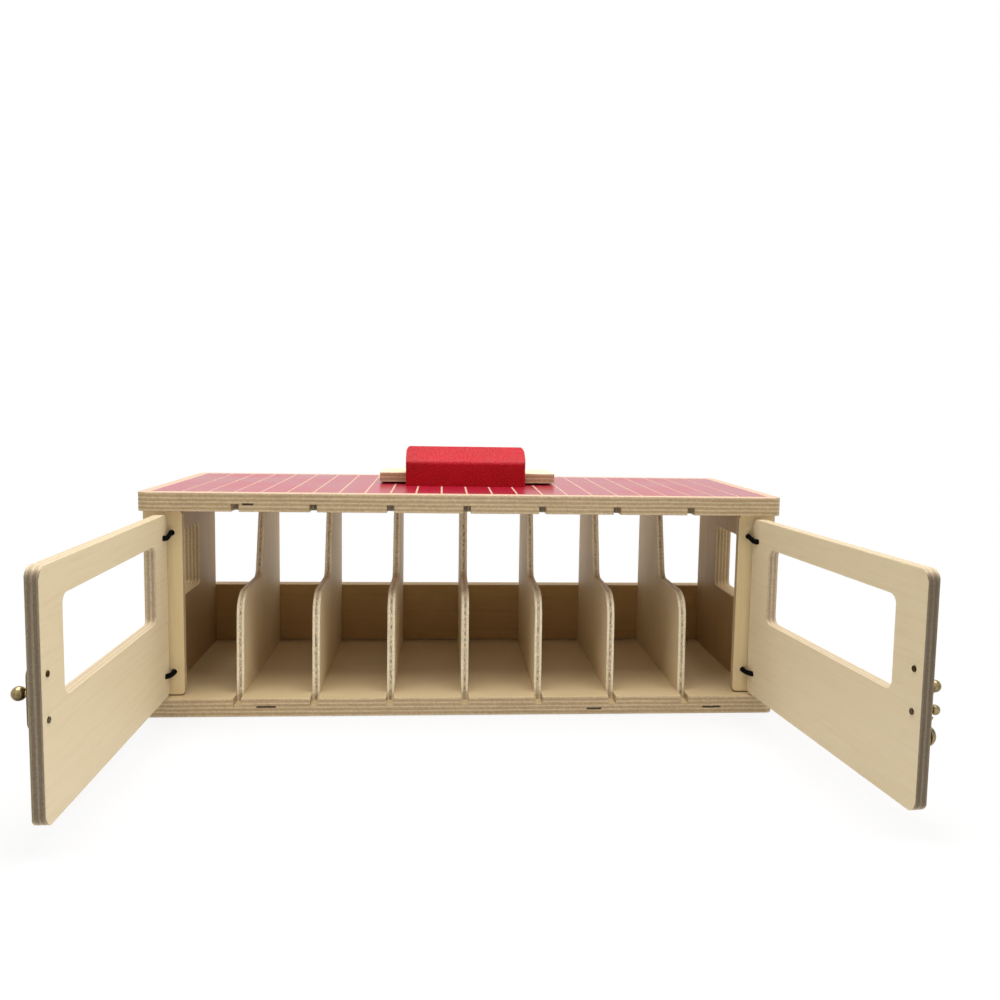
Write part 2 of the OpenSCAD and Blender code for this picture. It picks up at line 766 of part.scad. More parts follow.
module block_outline() {
    hw = block_d / 2;
    r = block_shoulder_r;
    rc = block_crest_r;
    sy = hw - r;
    cz = block_h - rc / cos(slope_a);
    difference() {
        polygon([[-hw, 0], [hw, 0], [hw, block_wall_h], [0, block_h], [-hw, block_wall_h]]);
        for (e = [-1, 1])
            mirror([e > 0 ? 0 : 1, 0])
                difference() {
                    polygon([
                        [hw + 1, shoulder_cz()], [sy, shoulder_cz()],
                        [sy + r * sin(slope_a), shoulder_cz() + r * cos(slope_a)],
                        [sy + r * sin(slope_a), block_h], [hw + 1, block_h]
                    ]);
                    translate([sy, shoulder_cz()]) circle(r = r);
                }
        difference() {
            polygon([[0, cz], [rc * sin(slope_a), cz + rc * cos(slope_a)],
                [rc * sin(slope_a), block_h + 1], [-rc * sin(slope_a), block_h + 1],
                [-rc * sin(slope_a), cz + rc * cos(slope_a)]]);
            translate([0, cz]) circle(r = rc);
        }
    }
}

// Height of the centre of the shoulder rounding: it touches wall and slope
function shoulder_cz() = block_h - (block_d / 2 - block_shoulder_r) * tan(slope_a)
    - block_shoulder_r / cos(slope_a);

module ridge_block() color(red) {
    translate([block_right, pivot_y, print_z])
        difference() {
            intersection() {
                rotate([90, 0, 90])
                    linear_extrude(height = block_l, center = true) block_outline();
                linear_extrude(height = block_h + 2) rounded_rect(block_l, block_d, block_r);
                rotate([90, 0, 0])
                    linear_extrude(height = block_d + 2, center = true)
                        rounded_rect(block_l, 2 * block_h, block_end_r);
            }
            translate([-block_l / 2 - 1, 0, pivot_z - print_z])
                rotate([0, 90, 0])
                    cylinder(h = block_l + 2, d = rod_d + 2 * rod_play);
            for (sx = [-1, 1])
                translate([sx * block_screw_x, sx * block_screw_y, -1])
                    cylinder(h = block_screw_in + 2, d = block_screw_d + 2 * glue_play);
        }
}

module ridge_block_screws() color(steel) {
    for (sx = [-1, 1])
        translate([block_right + sx * block_screw_x, pivot_y + sx * block_screw_y, roof_z]) {
            cylinder(h = board_t + print_t + block_screw_in, d = block_screw_d);
            cylinder(h = block_screw_d / 2, r1 = block_screw_d - 0.1,
                r2 = block_screw_d / 2 - 0.1);
        }
}

module handle_outline() {
    w = handle_w;
    r = handle_r;
    y1 = handle_reach;
    yi = handle_reach - grip_depth;
    ri = handle_in_r;
    difference() {
        union() {
            translate([handle_off - w / 2, -handle_nose])
                square([w, y1 - r + handle_nose]);
            translate([handle_off - w / 2 + r, 0]) square([w - 2 * r, y1]);
            for (sx = [-1, 1])
                translate([handle_off + sx * (w / 2 - r), y1 - r]) circle(r = r);
        }
        translate([-handle_gap / 2, -handle_nose - 5])
            square([handle_gap, yi - ri + handle_nose + 5]);
        translate([-handle_gap / 2 + ri, 0]) square([handle_gap - 2 * ri, yi]);
        for (sx = [-1, 1])
            translate([sx * (handle_gap / 2 - ri), yi - ri]) circle(r = ri);
    }
}

module carry_handle() color(natural) {
    translate([handle_x, pivot_y, pivot_z])
        rotate([-handle_tilt, 0, 0])
            difference() {
                translate([0, 0, -handle_t / 2])
                    linear_extrude(height = handle_t) handle_outline();
                for (sx = [-1, 1])
                    translate([sx * handle_gap / 2 - rod_in, 0, 0])
                        rotate([0, 90, 0])
                            cylinder(h = 2 * rod_in, d = rod_d + 2 * glue_play);
            }
}

module handle_rod() color(steel) {
    translate([handle_x - handle_gap / 2 - rod_in, pivot_y, pivot_z])
        rotate([0, 90, 0])
            cylinder(h = handle_gap + 2 * rod_in, d = rod_d);
}

// Each node draws only itself

roof_board();
roof_print();
floor_board();
side_wall_left();
side_wall_right();
back_wall();
divider_1();
divider_2();
divider_3();
divider_4();
divider_5();
divider_6();
divider_7();
front_post_left();
front_post_right();
board_dowels();
back_dowels();
door_left();
door_right();
hinge_cord_left_upper();
hinge_cord_left_lower();
hinge_cord_right_upper();
hinge_cord_right_lower();
keeper_plate();
keeper_knob();
keeper_screws();
hook_plate();
hook_plate_screws();
hook_rivet();
hook_arm();
ridge_block();
ridge_block_screws();
carry_handle();
handle_rod();
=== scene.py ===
# %% [markdown]
# # A toy stable box with two doors
#
# The object is a plywood box with eight open stalls, a flat roof with red printed boarding, two
# doors that hang on knotted cords, a brass swing latch, and a red ridge block with a folding
# carry handle. Every hard piece comes in as a CAD solid that is already the right size and in
# the right place. This notebook gives those solids their materials, replaces the four hinge
# cords with softer ones, and sets the floor, the light and the camera.

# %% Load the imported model
import json
import math

import bmesh
import bpy
from mathutils import Matrix, Vector


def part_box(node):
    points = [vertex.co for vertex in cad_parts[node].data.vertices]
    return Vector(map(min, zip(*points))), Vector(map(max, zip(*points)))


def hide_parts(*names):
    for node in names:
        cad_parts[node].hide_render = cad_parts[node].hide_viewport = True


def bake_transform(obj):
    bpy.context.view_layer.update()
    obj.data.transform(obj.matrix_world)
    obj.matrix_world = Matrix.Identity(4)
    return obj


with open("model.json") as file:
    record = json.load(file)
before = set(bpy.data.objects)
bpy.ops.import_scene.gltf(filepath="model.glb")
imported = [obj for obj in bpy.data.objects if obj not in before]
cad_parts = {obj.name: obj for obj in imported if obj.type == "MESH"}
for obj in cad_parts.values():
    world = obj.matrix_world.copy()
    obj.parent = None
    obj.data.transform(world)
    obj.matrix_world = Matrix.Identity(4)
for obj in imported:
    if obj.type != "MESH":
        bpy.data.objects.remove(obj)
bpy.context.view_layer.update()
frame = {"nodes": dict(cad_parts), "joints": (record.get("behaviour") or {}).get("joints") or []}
nodes = frame["nodes"]

# %% [markdown]
# ## Sizes, colours and joints
#
# Blender works in metres and in linear light, but a maker measures in millimetres and picks a
# colour as it looks on a screen. Both could be worked out by hand for each value. It is safer
# to write the maker's numbers and turn them here, once. The joints come with the model, so the
# places where the doors and the handle turn are read and not measured again.

# %% Millimetres, axes and screen colours
MM = 0.001
X, Y, Z = (1, 0, 0), (0, 1, 0), (0, 0, 1)


def linear(hex_colour):
    """A colour as it looks on a screen, turned into the linear numbers that Blender works in."""
    parts = [int(hex_colour[i:i + 2], 16) / 255 for i in (1, 3, 5)]
    return [c / 12.92 if c <= 0.04045 else ((c + 0.055) / 1.055) ** 2.4 for c in parts] + [1]


print("mid grey", [round(c, 3) for c in linear("#808080")])


# %% Where a door hangs and how it stands
def joint(name):
    return next(j for j in frame["joints"] if j["name"] == name)


def open_door(side):
    """A door as photographed: its hinge, the way along it, and the way out of its outer face."""
    sign = -1 if side == "left" else 1
    hinge = joint(side + "_door_hinge")
    turn = Matrix.Rotation(sign * math.radians(hinge["range_deg"][1]), 3, "Z")
    return Vector(hinge["pos_m"]), turn @ Vector((-sign, 0, 0)), turn @ Vector((0, -1, 0))


for side in ("left", "right"):
    print(side, "door hangs at", [round(c, 4) for c in open_door(side)[0]])

# %% [markdown]
# ## Camera
#
# The photograph was taken a little left of the middle, from about a forearm's height, and it
# looks slightly down. A camera could be placed by eye and nudged until it looks right. Here its
# place and turn come from lining up the box's straight edges with the photograph instead, so
# the lens axis doesn't pass exactly through the middle of the picture.


# %% The photograph's camera
def photo_camera():
    place = Vector((-15.8, -652.1, 200.2)) * MM
    yaw, pitch, roll = 0.074, 0.0957, 0.017
    picture, focal = 1000.0, 918.65
    centre = (509.93, 490.95)
    film = 36
    turn = (Matrix.Rotation(roll, 3, "Y") @ Matrix.Rotation(pitch, 3, "X")
            @ Matrix.Rotation(yaw, 3, "Z"))
    right, ahead, up = turn[0], turn[1], turn[2]
    cam = bpy.data.objects.new("photo_camera", bpy.data.cameras.new("photo_camera"))
    bpy.context.scene.collection.objects.link(cam)
    axes = Matrix((right, up, -ahead)).transposed()
    cam.matrix_world = Matrix.Translation(place) @ axes.to_4x4()
    cam.data.sensor_width = film
    cam.data.lens = focal / picture * film
    cam.data.shift_x = (picture / 2 - centre[0]) / picture
    cam.data.shift_y = (centre[1] - picture / 2) / picture
    cam.data.clip_start = 0.01
    cam.data.clip_end = 20
    bpy.context.scene.camera = cam
    print("lens", round(cam.data.lens, 2), "mm at", [round(c, 3) for c in place])


photo_camera()

# %% [markdown]
# ## A short way to write materials
#
# A material is a small graph of nodes: noises, sums and mixes that end in one surface. Nodes
# could be placed and joined one by one, which takes four lines for each. `Graph` keeps that
# short: `add` makes a node, sets its plain values and joins its inputs.


# %% Graphs of nodes
class Graph:
    def __init__(self, tree):
        self.tree = tree

    def add(self, kind, settings=None, **inputs):
        """A new node. An input is named as on the node, or `_` and its number."""
        node = self.tree.nodes.new(kind)
        for key, value in (settings or {}).items():
            setattr(node, key, value)
        for key, value in inputs.items():
            self.put(node, int(key[1:]) if key[1:].isdigit() else key, value)
        return node

    def put(self, node, key, value):
        """Joins an input to another node's output, or gives it a plain value."""
        socket = node.inputs[key]
        if isinstance(value, bpy.types.NodeSocket):
            self.tree.links.new(value, socket)
        else:
            socket.default_value = value

    def maths(self, operation, a, b=0.0, clamp=False):
        settings = {"operation": operation, "use_clamp": clamp}
        return self.add("ShaderNodeMath", settings, _0=a, _1=b).outputs[0]


# %% [markdown]
# The same few steps come back in every finish here, such as a noise that is stretched along the
# grain, or one tint laid thinly on another. They could be written out each time. Giving each a
# plain name makes a finish read like a recipe.


# %% The steps of a finish
class Recipe(Graph):
    def dot(self, a, b):
        """How far a place lies along a direction."""
        node = self.add("ShaderNodeVectorMath", {"operation": "DOT_PRODUCT"}, _0=a, _1=b)
        return node.outputs["Value"]

    def noise(self, vector, scale, detail, rough, distortion=0.0):
        """A cloudy pattern. The scale is in waves per metre."""
        node = self.add("ShaderNodeTexNoise", Vector=vector, Scale=scale, Detail=detail,
                        Roughness=rough, Distortion=distortion)
        return node.outputs["Fac"]

    def stretch(self, vector, scale):
        return self.add("ShaderNodeMapping", Vector=vector, Scale=scale).outputs[0]

    def between(self, value, low, high, to_low=0.0, to_high=1.0):
        """A soft step: `to_low` up to `low`, and `to_high` from `high` on."""
        node = self.add("ShaderNodeMapRange", {"interpolation_type": "SMOOTHSTEP"})
        for key, number in (("Value", value), ("From Min", low), ("From Max", high),
                            ("To Min", to_low), ("To Max", to_high)):
            self.put(node, key, number)
        return node.outputs[0]

    def around(self, noise, size):
        """A noise from 0 to 1, moved so that it swings round 0 and is `size` tall."""
        return self.maths("MULTIPLY", self.maths("SUBTRACT", noise, 0.5), size)


# %% The colours and the surface of a finish
class Finish(Recipe):
    """One material: its recipe ends in its surface."""

    def __init__(self, name):
        self.material = bpy.data.materials.new(name)
        self.material.use_nodes = True
        super().__init__(self.material.node_tree)
        self.surface = self.tree.nodes["Principled BSDF"]

    def place(self):
        return self.add("ShaderNodeTexCoord").outputs["Object"]

    def mix(self, share, a, b, blend="MIX"):
        node = self.add("ShaderNodeMix", {"data_type": "RGBA", "blend_type": blend})
        for key, value in ((0, share), (6, a), (7, b)):
            self.put(node, key, value)
        return node.outputs[2]

    def lay(self, under, over, mask, most):
        """One colour laid on another where the mask is white, and never more than `most`."""
        return self.mix(self.maths("MULTIPLY", mask, most), under, over)

    def dim(self, colour, kept):
        """A colour of which only a part of the light is kept."""
        grey = self.add("ShaderNodeCombineXYZ", X=kept, Y=kept, Z=kept).outputs[0]
        return self.mix(1.0, colour, grey, "MULTIPLY")

    def bump(self, height, distance, strength):
        node = self.add("ShaderNodeBump", Height=height, Distance=distance, Strength=strength)
        return node.outputs[0]

    def finish(self, **inputs):
        """Sets inputs of the surface, whose names have `_` for each space."""
        for key, value in inputs.items():
            self.put(self.surface, key.replace("_", " "), value)
        return self.material


# %% [markdown]
# ## Plywood
#
# Birch plywood is thin sheets of wood glued with their grain crossed. Its faces are pale and
# nearly plain, with fine grain lines. Its cut edges show the sheets as stripes: a pale one where
# the grain runs along the edge, a browner one where it is cut across, and a dark glue line
# between. Pictures of wood could be laid on each face, but they stretch on round corners and
# repeat from board to board. Here the wood is worked out in space instead. The material is told
# which way the board is thick, where its lower face is and how many sheets it has, so the
# stripes follow the real layers on every edge, round corners included.

# %% The tints of the wood
birch = {"face": "#E4CFA6", "warm": "#D9BF92", "pale": "#D0BA96", "brown": "#B99F7A",
         "glue": "#8F7552"}
pore_brown, gap_shade_black, core_brown = linear("#B29368"), linear("#241509"), linear("#5E452B")


def tinted(**changes):
    """The tints of the birch, with some of them changed for one board."""
    return {part: linear(colour) for part, colour in (birch | changes).items()}


print("tints of the birch:", ", ".join(birch))


# %% The face of a board
def board_face(g, flat, tints):
    """The colour, height and roughness of a board's face. `flat` runs along its grain in X."""
    grain = g.noise(g.stretch(flat, (14, 380, 1)), 1.0, 4, 0.6, 0.6)
    arches = g.noise(g.stretch(flat, (5, 46, 1)), 1.0, 3, 0.55, 2.2)
    rings = g.between(g.maths("FRACT", g.maths("MULTIPLY", arches, 9.0)), 0.0, 0.5, 1.0, 0.0)
    pores = g.noise(g.stretch(flat, (110, 2600, 1)), 1.0, 2, 0.7)
    patches = g.noise(flat, 9.0, 2, 0.5)
    colour = g.lay(tints["face"], tints["warm"], rings, 0.16)
    colour = g.lay(colour, tints["warm"], g.between(grain, 0.42, 0.8), 0.45)
    colour = g.lay(colour, pore_brown, g.between(pores, 0.60, 0.78), 0.28)
    colour = g.lay(colour, tints["face"], g.between(patches, 0.35, 0.7), 0.35)
    height = g.maths("ADD", g.maths("MULTIPLY", grain, 0.6), g.maths("MULTIPLY", pores, 0.4))
    return colour, height, g.between(grain, 0.3, 0.8, 0.5, 0.62)


# %% [markdown]
# The cut edge needs more care than the face, because in the photograph the edges are what says
# plywood. Even stripes would look drawn. So the sheets wander a little, the saw leaves pits and
# streaks, and the glue shows more strongly in some places than in others.


# %% The sheets in a cut edge
def cut_edge(g, place, layer, across, sheets, tints):
    """The edge's colour, the sheet that a point lies in, the saw's pits and the glue lines."""
    wobble = g.noise(g.stretch(place, (60, 60, 60)), 1.0, 2, 0.5)
    sheet = g.maths("ADD", g.maths("MULTIPLY", layer, sheets), g.around(wobble, 0.5))
    odd = g.maths("ABSOLUTE", g.maths("MODULO", g.maths("FLOOR", sheet), 2.0))
    part = g.maths("FRACT", sheet)
    to_glue = g.maths("MINIMUM", part, g.maths("SUBTRACT", 1.0, part))
    pits = g.noise(g.stretch(place, (700, 700, 700)), 1.0, 3, 0.7)
    along_sheet, through_sheets = 14, 500
    stripes = tuple(along_sheet + through_sheets * abs(c) for c in across)
    streaks = g.noise(g.stretch(place, stripes), 1.0, 3, 0.6)
    colour = g.dim(g.mix(odd, tints["pale"], tints["brown"]), g.between(pits, 0.3, 0.7, 0.84, 1.1))
    colour = g.lay(colour, tints["glue"], g.between(streaks, 0.5, 0.72), 0.35)
    glue = g.maths("MULTIPLY", g.between(to_glue, 0.03, 0.14, 0.5, 0.0),
                   g.between(streaks, 0.3, 0.6, 0.5, 1.0))
    return g.mix(glue, colour, tints["glue"]), sheet, pits, glue


# %% Painted shade and gaps
def stained(g, colour, place, direction, begins, keeps):
    """Painted shade: an edge that is darker past a line. `begins` is how far along the direction that is.
    """
    before, after = 2.2 * MM, 0.8 * MM
    kept = g.between(g.dot(place, direction), begins - before, begins + after, 1.0, keeps)
    return g.dim(colour, kept)


def sheet_gaps(g, sheet, pits, along, voids):
    """Short gaps where an inner sheet is missing, each as (start, end, which sheet)."""
    ragged = g.maths("ADD", sheet, g.around(pits, 0.5))
    taper = 1.2 * MM
    hole = 0.0
    for start, end, level in voids:
        near = g.between(g.maths("ABSOLUTE", g.maths("SUBTRACT", ragged, level)), 0.4, 0.6, 1.0, 0.0)
        inside = g.maths("MULTIPLY", g.between(along, start, start + taper),
                         g.between(along, end - taper, end, 1.0, 0.0))
        hole = g.maths("MAXIMUM", hole, g.maths("MULTIPLY", near, inside))
    return hole


# %% The dark middle of a divider
def dark_core(g, place, layer):
    """Dark flecks along the middle sheet, which wanders as it goes."""
    flecks = g.noise(g.stretch(place, (900, 420, 420)), 1.0, 3, 0.7)
    wander = g.around(g.noise(place, 150.0, 2, 0.6), 0.3)
    from_middle = g.maths("ABSOLUTE", g.maths("SUBTRACT", g.maths("ADD", layer, wander), 0.5))
    return g.maths("MULTIPLY", g.between(flecks, 0.42, 0.6), g.between(from_middle, 0.05, 0.15, 1.0, 0.0))


# %% [markdown]
# A board shows its face or its edge by the way each bit of its surface points, so one material
# serves the whole solid. Edges that point up are lightened a little towards the colour of the
# face: a painted highlight from the light above.


# %% A whole plywood board
def plywood(name, across, start, thick, sheets, grain, tints, seed, voids=(), stain=None, core=0.0):
    """across: the way through the board. start: a point on its lower face, in metres.
    grain: the way the face's grain runs. voids: gaps in the edge, painted nearly black as painted
    shade inside them. stain: painted shade on one end of the edge, as (direction, where it
    begins, how much light it keeps). core: how dark the middle is."""
    g = Finish(name)
    coord = g.add("ShaderNodeTexCoord").outputs
    place, normal = coord["Object"], coord["Normal"]
    depth = g.maths("SUBTRACT", g.dot(place, across), Vector(start).dot(Vector(across)))
    layer = g.maths("DIVIDE", depth, thick)
    along = g.dot(place, grain)
    aside = g.dot(place, tuple(Vector(across).cross(Vector(grain))))
    flat = g.add("ShaderNodeCombineXYZ", X=along, Y=aside, Z=seed).outputs[0]

    face, face_height, rough = board_face(g, flat, tints)
    edge, sheet, pits, glue = cut_edge(g, place, layer, across, sheets, tints)
    if stain:
        edge = stained(g, edge, place, *stain)
    hole = sheet_gaps(g, sheet, pits, along, voids)
    # The gaps in the edge are painted nearly black: painted shade inside the holes.
    edge = g.lay(edge, gap_shade_black, hole, 0.93)
    if core:
        edge = g.lay(edge, core_brown, dark_core(g, place, layer), core)
    # Painted highlight: edges that point up are lightened towards the colour of the face.
    edge = g.lay(edge, tints["face"], g.between(g.dot(normal, Z), 0.6, 0.9), 0.4)

    on_face = g.between(g.maths("ABSOLUTE", g.dot(normal, across)), 0.55, 0.8)
    on_edge = g.maths("SUBTRACT", 1.0, on_face)
    edge_height = g.maths("SUBTRACT", g.maths("SUBTRACT", pits, g.maths("MULTIPLY", glue, 0.5)), hole)
    height = g.maths("ADD", g.maths("MULTIPLY", face_height, on_face),
                     g.maths("MULTIPLY", edge_height, on_edge))
    return g.finish(Base_Color=g.mix(on_face, edge, face), Roughness=rough, Specular_IOR_Level=0.25,
                    Normal=g.bump(height, 0.12 * MM, 0.5))


# %% [markdown]
# ## Plywood on the boards
#
# Most boards lie square to the box, so a board's lower face and thickness can be read from the
# box round its solid. Typing them in again would be shorter, but they would go wrong as soon as
# a board changes. The roof, the floor and the side walls are nine sheets thick, the back wall
# seven, and the dividers and posts three. The roof board is pinker. The walls, deep in the box,
# are browner and darker, which is painted shade, and the floor is a little darker, partly with
# painted shade.


# %% Painting a solid, and painting a straight board
def paint(node, material):
    o = nodes[node]
    o.data.materials.clear()
    o.data.materials.append(material)
    for face in o.data.polygons:
        face.material_index = 0


def straight_board(node, across, sheets, grain, tints, seed, **faults):
    low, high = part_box(node)
    thick = (high - low)[across.index(1)]
    paint(node, plywood(node + "_ply", across, low, thick, sheets, grain, tints, seed, **faults))
    print(node, round(thick / MM, 2), "mm thick in", sheets, "sheets")


# %% Roof and floor
gaps_in_roof = ((-0.1396, -0.1314, 3.6),)
gaps_in_floor = ((-0.132, -0.1186, 4.8), (0.0784, 0.0893, 2.9), (0.1547, 0.168, 3.4))
straight_board("roof_board", Z, 9, X, tinted(face="#C8A890", warm="#BC9A7E"), 1.0, voids=gaps_in_roof)
# The floor's tint is darker than plain birch, partly as painted shade inside the stalls.
straight_board("floor_board", Z, 9, X, tinted(face="#D6C096", warm="#CAAF80"), 2.0, voids=gaps_in_floor)

# %% Walls and front posts
# The walls' tints are darker and browner: painted shade, since they stand deep in the box.
wall_tints_with_painted_shade = tinted(face="#B99C70", warm="#A98A5A", pale="#C4AE88", brown="#A88B62")
post_tints = tinted(face="#E2CC9E", warm="#D5B986")
for i, side in enumerate(("right", "left")):
    straight_board("side_wall_" + side, X, 9, Z, wall_tints_with_painted_shade, 3.0 + i)
    straight_board("front_post_" + side, Y, 3, Z, post_tints, 5.0 + i)
# The back wall's tint is darker and browner too: painted shade deep in the box.
straight_board("back_wall", Y, 7, X, tinted(face="#C2A068", warm="#AE8A54"), 16.0)

# %% Dividers and dowels
divider_tints = tinted(face="#DFCCA8", warm="#D0B88E", pale="#F0E2C4", brown="#DCC9A6")
roof_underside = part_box("roof_board")[0].z
for i in range(1, 8):
    # Painted shade: each divider's edge darkens from just under the roof board upward, where it sits in
    # the roof's groove.
    straight_board(f"divider_{i}", X, 3, Z, divider_tints, 7.0 + i, core=0.75,
                   stain=(Z, roof_underside, 0.36))
for dowels in ("board_dowels", "back_dowels"):
    paint(dowels, plywood(dowels + "_wood", Z, (0, 0, 0), 1.0, 1, Z, tinted(), 17.0))

# %% [markdown]
# ### Doors and handle
#
# The doors stand open and the handle leans slightly, so neither is square to the box. Their
# wood could be worked out lying flat and then turned. It is simpler to hand the material the
# door's own directions, which come from its hinge. The doors' free edges are darker than the
# rest of their edges: each door has painted shade there, deeper on the right door.

# %% Doors
door_t = 6.3 * MM
door_tints = tinted(face="#D9C8A6", warm="#CDB890", pale="#C9B592", brown="#AE9880", glue="#8C745F")
stain_inside = 1.2 * MM
# Each door's free edge gets painted shade, which keeps less light on the right door.
for side, seed, kept in (("left", 21.0, 0.5), ("right", 19.0, 0.42)):
    hinge, along, out = open_door(side)
    free_edge = hinge.dot(along) + abs(hinge.x) - stain_inside
    paint("door_" + side, plywood(f"door_{side}_ply", tuple(-out), hinge + out * door_t, door_t, 5,
                                  tuple(along), door_tints, seed,
                                  stain=(tuple(along), free_edge, kept)))
    print(side, "door's stain begins", round((abs(hinge.x) - stain_inside) / MM, 1), "mm from its hinge")

# %% Carry handle
handle_t, handle_lean = 6.5 * MM, math.radians(-1.2)
handle_up = Matrix.Rotation(handle_lean, 3, "X") @ Vector(Z)
handle_low = Vector(joint("carry_handle_pivot")["pos_m"]) - handle_up * handle_t / 2
paint("carry_handle", plywood("carry_handle_ply", tuple(handle_up), handle_low, handle_t, 5, X,
                              tinted(face="#E8D4AC"), 24.0))

# %% [markdown]
# ## Ink and paint
#
# The roof boarding is a screen print: an even red film that lets the grain telegraph through a
# little. The ridge block is solid wood under satin red paint, which dries into a fine orange
# peel. One red could serve both, but the photograph shows the print bluer and smoother, and the
# paint warmer and rougher, with the light broken up on it.


# %% Roof ink
def red_ink():
    g = Finish("roof_ink")
    place = g.place()
    grain = g.noise(g.stretch(place, (18, 420, 1)), 1.0, 4, 0.6)
    cloud = g.noise(place, 14.0, 3, 0.6)
    mottle = g.noise(place, 900.0, 2, 0.6)
    colour = g.mix(g.between(cloud, 0.3, 0.7), linear("#900A24"), linear("#9E102E"))
    colour = g.lay(colour, linear("#84081E"), g.between(grain, 0.45, 0.8), 0.25)
    height = g.maths("ADD", g.maths("MULTIPLY", grain, 0.7), g.maths("MULTIPLY", mottle, 0.3))
    return g.finish(Base_Color=colour, Roughness=g.between(cloud, 0.3, 0.7, 0.26, 0.32),
                    Normal=g.bump(height, 0.04 * MM, 0.3))


paint("roof_print", red_ink())


# %% Ridge block paint
def red_paint():
    g = Finish("ridge_block_paint")
    place = g.place()
    cloud = g.noise(place, 30.0, 3, 0.6)
    peel = g.noise(place, 1000.0, 3, 0.65)
    grain = g.noise(g.stretch(place, (30, 500, 500)), 1.0, 3, 0.6)
    specks = g.noise(place, 1500.0, 1, 0.5)
    colour = g.mix(g.between(cloud, 0.3, 0.7), linear("#AA0010"), linear("#B60218"))
    colour = g.mix(g.between(specks, 0.62, 0.72, 0.0, 0.45), colour, linear("#6E0210"))
    height = g.maths("ADD", g.maths("MULTIPLY", peel, 0.8), g.maths("MULTIPLY", grain, 0.2))
    return g.finish(Base_Color=colour, Roughness=g.between(cloud, 0.3, 0.7, 0.34, 0.42),
                    Specular_IOR_Level=0.2, Normal=g.bump(height, 0.6 * MM, 0.8))


paint("ridge_block", red_paint())

# %% [markdown]
# ## Brass and steel
#
# The latch is dull brass. Its tints are darkened, partly as tarnish and partly as a painted
# dark reflection, strongest on the plates, while the knob and the arm stay lighter. A brass
# could be one even metal. Two tints in slow clouds, with a roughness that changes with them,
# show the tarnish together with the painted dark reflection. The block's screws and the handle's
# rod are drawn steel, with fine lines along them.


# %% The metals
def brass(name, light, dark):
    g = Finish(name)
    place = g.place()
    tarnish_and_dark_reflection = g.noise(place, 160.0, 4, 0.6)
    rub = g.noise(place, 1400.0, 2, 0.6)
    # The dark tint is partly tarnish and partly a painted dark reflection.
    colour = g.mix(g.between(tarnish_and_dark_reflection, 0.35, 0.7), linear(light), linear(dark))
    return g.finish(Base_Color=colour, Metallic=1.0, Roughness=g.between(tarnish_and_dark_reflection, 0.3, 0.75, 0.2, 0.36),
                    Normal=g.bump(rub, 0.03 * MM, 0.4))


def drawn_steel():
    g = Finish("steel")
    lines = g.noise(g.stretch(g.place(), (40, 2000, 2000)), 1.0, 3, 0.6)
    colour = g.mix(lines, linear("#B9B9B6"), linear("#8E8E8C"))
    return g.finish(Base_Color=colour, Metallic=1.0, Roughness=g.between(lines, 0.3, 0.7, 0.25, 0.4))


# %% Metal pieces
metals = (
    (brass("bright_brass", "#A8946A", "#4A3E2A"), ("keeper_knob", "hook_rivet", "hook_arm")),
    # The plates get the darkest brass: a painted dark reflection.
    (brass("plate_brass_painted_dark", "#6E6044", "#3A3022"),
     ("keeper_plate", "keeper_screws", "hook_plate", "hook_plate_screws")),
    (drawn_steel(), ("ridge_block_screws", "handle_rod")),
)
for metal, pieces in metals:
    for piece in pieces:
        paint(piece, metal)
    print(metal.name, "on", ", ".join(pieces))

# %% [markdown]
# ## Hinge cords
#
# Each door hangs on two short ties of flat black cord. A tie is knotted behind the front post,
# comes out through a bore in the post, lies against the inner face of the door for a few
# millimetres, and goes out through a bore in the door to a second knot. Cord could be a round
# tube with a bend in it. The photograph shows a flat one, so it is a ribbon swept along that
# path, with a small overhand knot at each end. It bends where the door turns, drawn for the door
# as it stands.


# %% A soft curve through chosen points
def smooth_path(points, steps):
    """Straight runs with rounded turns, by the curve that passes through every point."""
    out = []
    for i in range(len(points) - 1):
        before = points[max(i - 1, 0)]
        a, b = points[i], points[i + 1]
        after = points[min(i + 2, len(points) - 1)]
        for k in range(steps):
            t = k / steps
            out.append(0.5 * ((2 * a) + (b - before) * t + (2 * before - 5 * a + 4 * b - after) * t * t
                              + (3 * a - before - 3 * b + after) * t ** 3))
    out.append(points[-1])
    return out


straight = smooth_path([Vector((0, 0, 0)), Vector((0, 0, 1))], 4)
print("a straight run of", len(straight), "points, from", straight[0].z, "to", straight[-1].z)


# %% The section and the skin of a flat cord
def section(corner, wide, thick, top, side):
    """One point of the cord's section: an ellipse with its corners filled out."""
    up_part = math.copysign(abs(math.sin(corner)) ** 0.5, math.sin(corner))
    side_part = math.copysign(abs(math.cos(corner)) ** 0.5, math.cos(corner))
    return top * (wide / 2 * up_part) + side * (thick / 2 * side_part)


def skin(bm, rings, lengths):
    """The faces between the rings, with the cord's length in U, and a face at each end."""
    uv = bm.loops.layers.uv.new("UVMap")
    uv_step = 10 * MM
    count = len(rings[0])
    for i in range(len(rings) - 1):
        for k in range(count):
            n = (k + 1) % count
            face = bm.faces.new((rings[i][k], rings[i][n], rings[i + 1][n], rings[i + 1][k]))
            for loop, (s, t) in zip(face.loops, ((i, k), (i, k + 1), (i + 1, k + 1), (i + 1, k))):
                loop[uv].uv = (lengths[s] / uv_step, t / count)
    bm.faces.new(list(reversed(rings[0])))
    bm.faces.new(rings[-1])
    bmesh.ops.recalc_face_normals(bm, faces=bm.faces)


